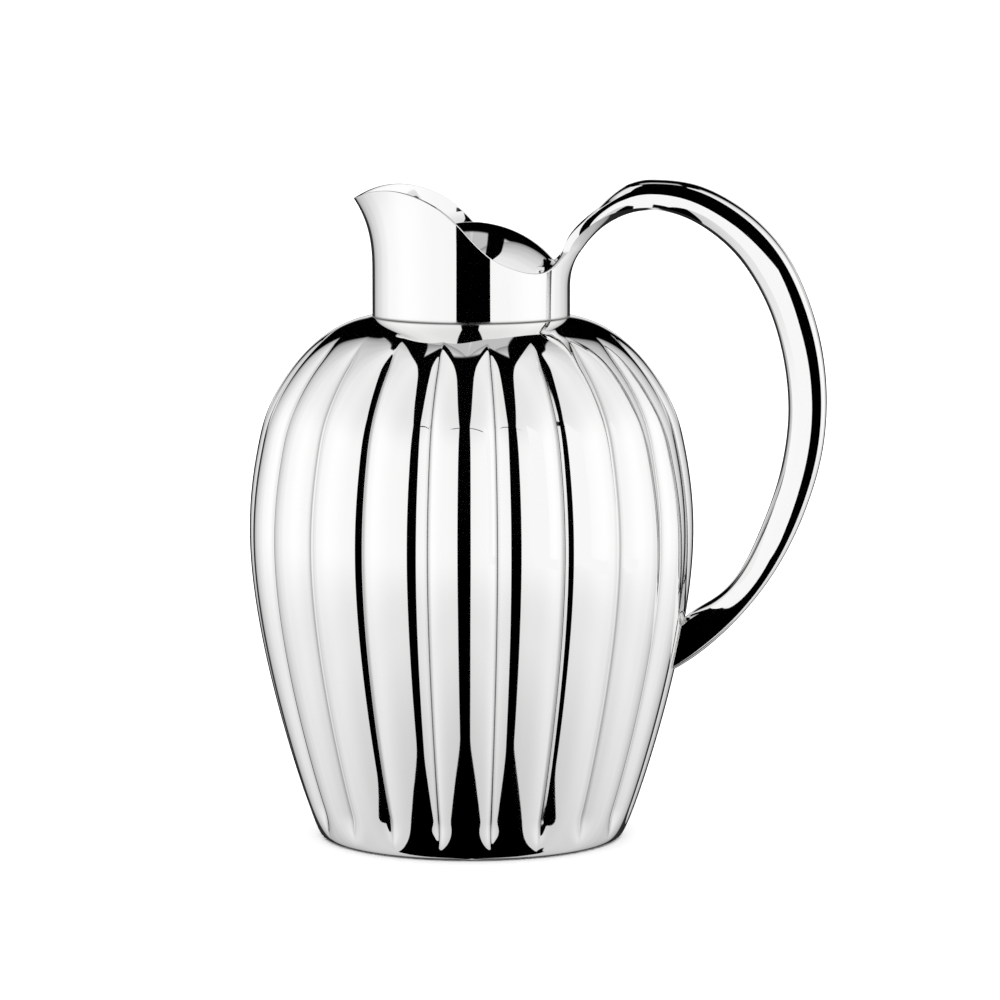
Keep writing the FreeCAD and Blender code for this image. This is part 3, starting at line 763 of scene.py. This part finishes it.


# %% [markdown]
# ## Polished steel
# A real polish isn't a perfect mirror: under the gloss lie fine hairlines from the mop and faint haze in
# patches, and the valleys and the collar joint carry painted shade. The hairlines are one noise stretched
# round the body, and the haze is another at a large scale. Both only steer the roughness, with a bump so
# shallow that it ripples a reflection without breaking it up. The painted shade darkens the steel's colour
# almost to black and dulls it.

# %%
def polished_steel():
    f = Finish("polished_steel")
    f.set(Metallic=1.0)
    painted_shade = f.node("ShaderNodeAttribute", attribute_name="painted_shade").outputs["Fac"]
    # Painted shade: bright steel where the share read above is 0, almost black where it is 1.
    f.colour(painted_shade, (0.93, 0.93, 0.925), (0.05, 0.05, 0.048))
    haze = f.noise(EVEN, 22.0, 3.0)
    hairlines = f.noise((60.0, 60.0, 2600.0), 1.0, 3.0)
    rough = f.calc("ADD", f.between(haze, 0.008, 0.03), f.between(hairlines, 0.0, 0.022))
    f.steer("Roughness", f.calc("ADD", rough, f.product(painted_shade, 0.3)))
    f.bump(f.noise((1.0, 1.0, 0.6), 55.0, 2.0), 0.00002)
    return f.material


# %% [markdown]
# ## The finishes inside
# What the polish hides is plainer: drawn steel with turned marks on the flask, bright machined screws,
# spring wire, moulded plastic with a spark-eroded grain, matt rubber, cloudy silicone and rigid foam. Each
# gets the mark of how it was made, at its own scale.

# %%
def drawn_steel(name, colour, rough, marks):
    """Satin steel: marks run round the axis, so the noise is squeezed along it."""
    f = Finish(name)
    f.set(Metallic=1.0)
    lines = f.noise((30.0, 30.0, marks), 1.0, 5.0)
    f.colour(f.between(f.noise(EVEN, 30.0, 3.0), 0.0, 1.0), scaled(colour, 0.9), colour)
    f.steer("Roughness", f.between(lines, rough - 0.07, rough + 0.09))
    f.bump(lines, 0.00001)
    return f.material


def moulded(name, colour, rough, grain, depth):
    """Moulded surface: an even fine grain, with slightly uneven gloss and colour."""
    f = Finish(name)
    cloud = f.noise(EVEN, 40.0, 3.0)
    f.colour(f.between(cloud, 0.0, 1.0), scaled(colour, 0.88), scaled(colour, 1.12))
    f.steer("Roughness", f.between(cloud, rough - 0.06, rough + 0.06))
    f.bump(f.noise(EVEN, grain, 2.0), depth)
    return f.material


def silicone():
    """Milky and slightly translucent, with cloudy colour and gloss."""
    f = Finish("seal_rubber")
    f.set(Subsurface_Weight=0.35, Subsurface_Scale=0.002, Subsurface_Radius=EVEN)
    cloud = f.noise(EVEN, 60.0, 3.0)
    f.colour(f.between(cloud, 0.0, 1.0), (0.50, 0.50, 0.48), (0.62, 0.62, 0.60))
    f.steer("Roughness", f.between(cloud, 0.38, 0.52))
    return f.material


def rigid_foam():
    """Open cells of about a millimetre, darker in each cell's hollow as painted shade and paler on its
    ridges.
    """
    f = Finish("foam")
    f.set(Roughness=0.9)
    cells = f.node("ShaderNodeTexVoronoi", {"Vector": f.place(EVEN), "Scale": 900.0}).outputs["Distance"]
    # Painted shade: the colour follows the bump, darkest at the bottom of each cell.
    f.colour(f.between(cells, 0.0, 1.0, 0.0, 0.8), (0.72, 0.70, 0.62), (0.86, 0.84, 0.78))
    f.bump(cells, 0.0001)
    return f.material


FINISHES = {"polished_steel": polished_steel(),
            "flask_steel": drawn_steel("flask_steel", (0.62, 0.62, 0.61), 0.3, 2400.0),
            "screw_steel": drawn_steel("screw_steel", (0.58, 0.58, 0.59), 0.22, 5000.0),
            "spring_steel": drawn_steel("spring_steel", (0.60, 0.60, 0.58), 0.26, 3000.0),
            "dark_plastic": moulded("dark_plastic", (0.028, 0.028, 0.03), 0.42, 1600.0, 0.00003),
            "dark_rubber": moulded("dark_rubber", (0.035, 0.035, 0.035), 0.72, 900.0, 0.00005),
            "seal_rubber": silicone(),
            "foam": rigid_foam()}


def wear(obj, slot):
    obj.data.materials.clear()
    obj.data.materials.append(FINISHES[slot])


slots = {s["node"]: s["material_slot"] for s in frame["record"]["subparts"]}
for node_name, node_object in frame["nodes"].items():
    wear(node_object, slots[node_name])
for new_object in (shell, collar, handle, dome):
    wear(new_object, "polished_steel")
wear(foot_pad, "seal_rubber")
print("finishes:", sorted(set(slots.values())))

# %% [markdown]
# ## The floor and the cards
# A mirror shows only what stands round it, so the light is the studio itself. The jug stands on a pale matt
# sweep. Three small cards stand or hang close in front of it, as a photographer would clamp them: two white
# ones that the inside of the loop looks down on, and a dark plate that widens the dark band on the collar.
# The plate leans along the very rays that the ribs below send past it, so they see it nearly edge on. Only
# mirrors see the cards, and mirrors look through the floor at the walls.

# %%
LIGHT = 1.07
WHITE_UPRIGHT = [(45.0, -100.0, 95.0), (95.0, -100.0, 95.0), (95.0, -100.0, 184.0), (45.0, -100.0, 184.0)]
WHITE_LEDGE = [(62.0, -100.0, 95.0), (95.0, -100.0, 95.0), (95.0, -56.0, 95.0), (62.0, -56.0, 95.0)]
DARK_PLATE = [(-20.0, -95.0, 170.5), (36.0, -95.0, 170.5), (54.0, -136.0, 205.0), (-31.0, -136.0, 205.0)]


def stage_plane(name, corners, material):
    mesh = bpy.data.meshes.new(name)
    mesh.from_pydata([tuple(c * MM for c in corner) for corner in corners], [], [(0, 1, 2, 3)])
    mesh.materials.append(material)
    plane = bpy.data.objects.new(name, mesh)
    bpy.context.scene.collection.objects.link(plane)
    plane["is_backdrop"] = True
    return plane


def make_floor():
    """Pale matt floor for the eye, out of sight in mirrors."""
    f = Finish("pale_floor")
    f.set(Base_Color=(0.93, 0.93, 0.93, 1.0), Roughness=0.9)
    half = 6000.0
    corners = [(-half, -half, 0.0), (half, -half, 0.0), (half, half, 0.0), (-half, half, 0.0)]
    stage_plane("floor", corners, f.material).visible_glossy = False


def make_card(name, corners, level):
    """Card of an even level that only mirrors see."""
    material = bpy.data.materials.new(name)
    material.use_nodes = True
    g = Graph(material.node_tree)
    sheet = g.node("ShaderNodeEmission", {"Color": (level, level, level, 1.0), "Strength": 1.0})
    g.node("ShaderNodeOutputMaterial", {"Surface": sheet.outputs[0]})
    card = stage_plane(name, corners, material)
    card.visible_camera = False
    card.visible_diffuse = False
    card.visible_transmission = False
    card.visible_shadow = False


make_floor()
make_card("white_upright", WHITE_UPRIGHT, 1.0)
make_card("white_ledge", WHITE_LEDGE, 1.0)
make_card("dark_plate", DARK_PLATE, 0.0)

# %% [markdown]
# ## The walls
# Further off stand two tall white walls of light, with a dark slot overhead and a narrow dark gap in front,
# where the camera stands. Area lamps and black cloths could build that room, but their edges would bring
# noise into every reflection. A sky formula gives the same room with clean edges. x, y and z are the parts of
# a mirrored ray's direction: y points away from the camera and z up. The walls are only for
# mirrors. The floor is lit by plain white all round, and the eye sees plain white behind the jug.

# %%
VIEW_TURN = math.radians(2.0)  # the camera stands this far round the jug, and the room turns with it
EDGE = 0.006                   # softness of the edges of the dark parts
SLOT = 0.225                   # half width of the dark slot overhead, as a share of the height
SLOT_BEHIND = 0.18             # how much wider the slot is behind
SLOT_SHIFT = 0.015             # how far the slot and the gap lie to the left
PANEL = 0.2                    # half width of a light panel in the slot behind, as a share of the height
PANEL_LEVEL = 0.8
GAP = 0.2                      # half width of the dark gap in front, as a share of the distance
LOW_FRONT = (-0.62, -0.74)     # going down between these heights, the gap widens to the dark front floor
LOW_WIDTH = 0.56
FLAG_SIDE = (0.835, 0.86)      # a dark flag behind begins at this share of half a turn from the front
FLAG_FOOT = (0.08, 0.15)
FLAG_TOP = (0.75, 0.68)
GLOW_SIDE = (0.82, 0.86)       # above the horizon behind, the walls keep at least this glow
GLOW_FOOT = (-0.02, 0.04)
GLOW_LEVEL = 0.75
FLOOR_LIGHT = 1.9
# Level of the walls against azimuth away from the front, as a share of half a turn.
WALLS = [(0.0, 0.9), (0.2, 0.94), (0.45, 1.0), (0.6, 0.95), (0.67, 0.85), (0.75, 0.7),
         (0.81, 0.55), (0.835, 0.42), (0.85, 0.03), (0.985, 0.02), (0.995, 0.9)]
# The same against height, from 0 straight down to 1 straight up.
LEVELS = [(0.0, 0.55), (0.15, 0.66), (0.3, 0.84), (0.45, 1.0), (0.65, 1.0), (0.9, 0.85)]


def outside_dark(g, x, y, z):
    """1 on the walls and 0 where |x| < SLOT z overhead or |x| < GAP |y| in front, with the panel added."""
    across = g.calc("ABSOLUTE", g.calc("ADD", x, SLOT_SHIFT))
    overhead = g.product(z, g.calc("MULTIPLY_ADD", g.fade(y, -0.3, 0.3), SLOT_BEHIND, SLOT))
    ahead = g.calc("MULTIPLY_ADD", y, -GAP, g.product(g.fade(z, *LOW_FRONT), LOW_WIDTH))
    in_front = g.product(ahead, g.fade(y, 0.1, -0.1))
    white = g.fade(g.calc("SUBTRACT", across, g.calc("MAXIMUM", overhead, in_front)), -EDGE, EDGE)
    in_panel = g.fade(g.calc("SUBTRACT", g.product(z, PANEL), across), -EDGE, EDGE)
    return g.calc("MAXIMUM", white, g.product(g.fade(y, 0.02, 0.08), in_panel, PANEL_LEVEL))


def wall_level(g, x, y, z):
    """WALLS by azimuth, raised by the glow, times LEVELS by height, and dark behind the flag."""
    turn = g.calc("ARCTAN2", x, g.product(y, -1.0))
    side = g.calc("ABSOLUTE", g.calc("DIVIDE", turn, math.pi))
    glow = g.product(g.fade(z, *GLOW_FOOT), g.fade(side, *GLOW_SIDE), GLOW_LEVEL)
    walls = g.calc("MAXIMUM", g.ramp(side, WALLS), glow)
    height = g.ramp(g.calc("MULTIPLY_ADD", z, 0.5, 0.5), LEVELS)
    flag = g.product(g.fade(z, *FLAG_FOOT), g.fade(z, *FLAG_TOP), g.fade(side, *FLAG_SIDE))
    return g.product(walls, height, g.calc("SUBTRACT", 1.0, flag))


def make_sky():
    world = bpy.data.worlds.new("studio")
    world.use_nodes = True
    bpy.context.scene.world = world
    g = Graph(world.node_tree)
    direction = g.node("ShaderNodeTexCoord").outputs["Generated"]
    turned = g.node("ShaderNodeVectorRotate", {"Vector": direction, "Angle": -VIEW_TURN},
                    rotation_type="Z_AXIS")
    x, y, z = g.parts(turned.outputs["Vector"])
    room = g.product(outside_dark(g, x, y, z), wall_level(g, x, y, z))
    plain = (1.0, 1.0, 1.0, 1.0)
    mirrors, eye, floor = [g.node("ShaderNodeBackground", {"Color": colour, "Strength": strength}).outputs[0]
                           for colour, strength in ((room, LIGHT), (plain, LIGHT), (plain, FLOOR_LIGHT))]
    rays = g.node("ShaderNodeLightPath").outputs
    soft = g.node("ShaderNodeMixShader", {0: rays["Is Diffuse Ray"], 1: eye, 2: floor}).outputs[0]
    mixed = g.node("ShaderNodeMixShader", {0: rays["Is Glossy Ray"], 1: soft, 2: mirrors}).outputs[0]
    g.node("ShaderNodeOutputWorld", {"Surface": mixed})


make_sky()

# %% [markdown]
# ## The camera
# The camera stands about 1.7 m away and a little higher than the jug, and looks slightly down through a long
# lens that keeps the upright lines upright.

# %%
CAMERA_PLACE = (9.8, -1722.0, 322.0)
CAMERA_DOWN = math.radians(6.83)


def make_camera():
    data = bpy.data.cameras.new("camera")
    data.sensor_width = 36.0
    data.lens = 182.4
    data.clip_start, data.clip_end = 0.05, 20.0
    camera = bpy.data.objects.new("camera", data)
    bpy.context.scene.collection.objects.link(camera)
    across, away, up = CAMERA_PLACE
    c, s = math.cos(VIEW_TURN), math.sin(VIEW_TURN)
    camera.location = ((c * across - s * away) * MM, (s * across + c * away) * MM, up * MM)
    camera.rotation_euler = (math.pi / 2.0 - CAMERA_DOWN, 0.0, VIEW_TURN)
    bpy.context.scene.camera = camera


make_camera()
bpy.context.scene.view_settings.view_transform = "Standard"

# %% [markdown]
# ## The size of the visual model
# The size of the visual model is compared with the frame's box.

# %%
low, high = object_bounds()
now, before = list(low) + list(high), list(cad_low) + list(cad_high)
print("moved by mm:", [round((a - b) / MM, 2) for a, b in zip(now, before)])
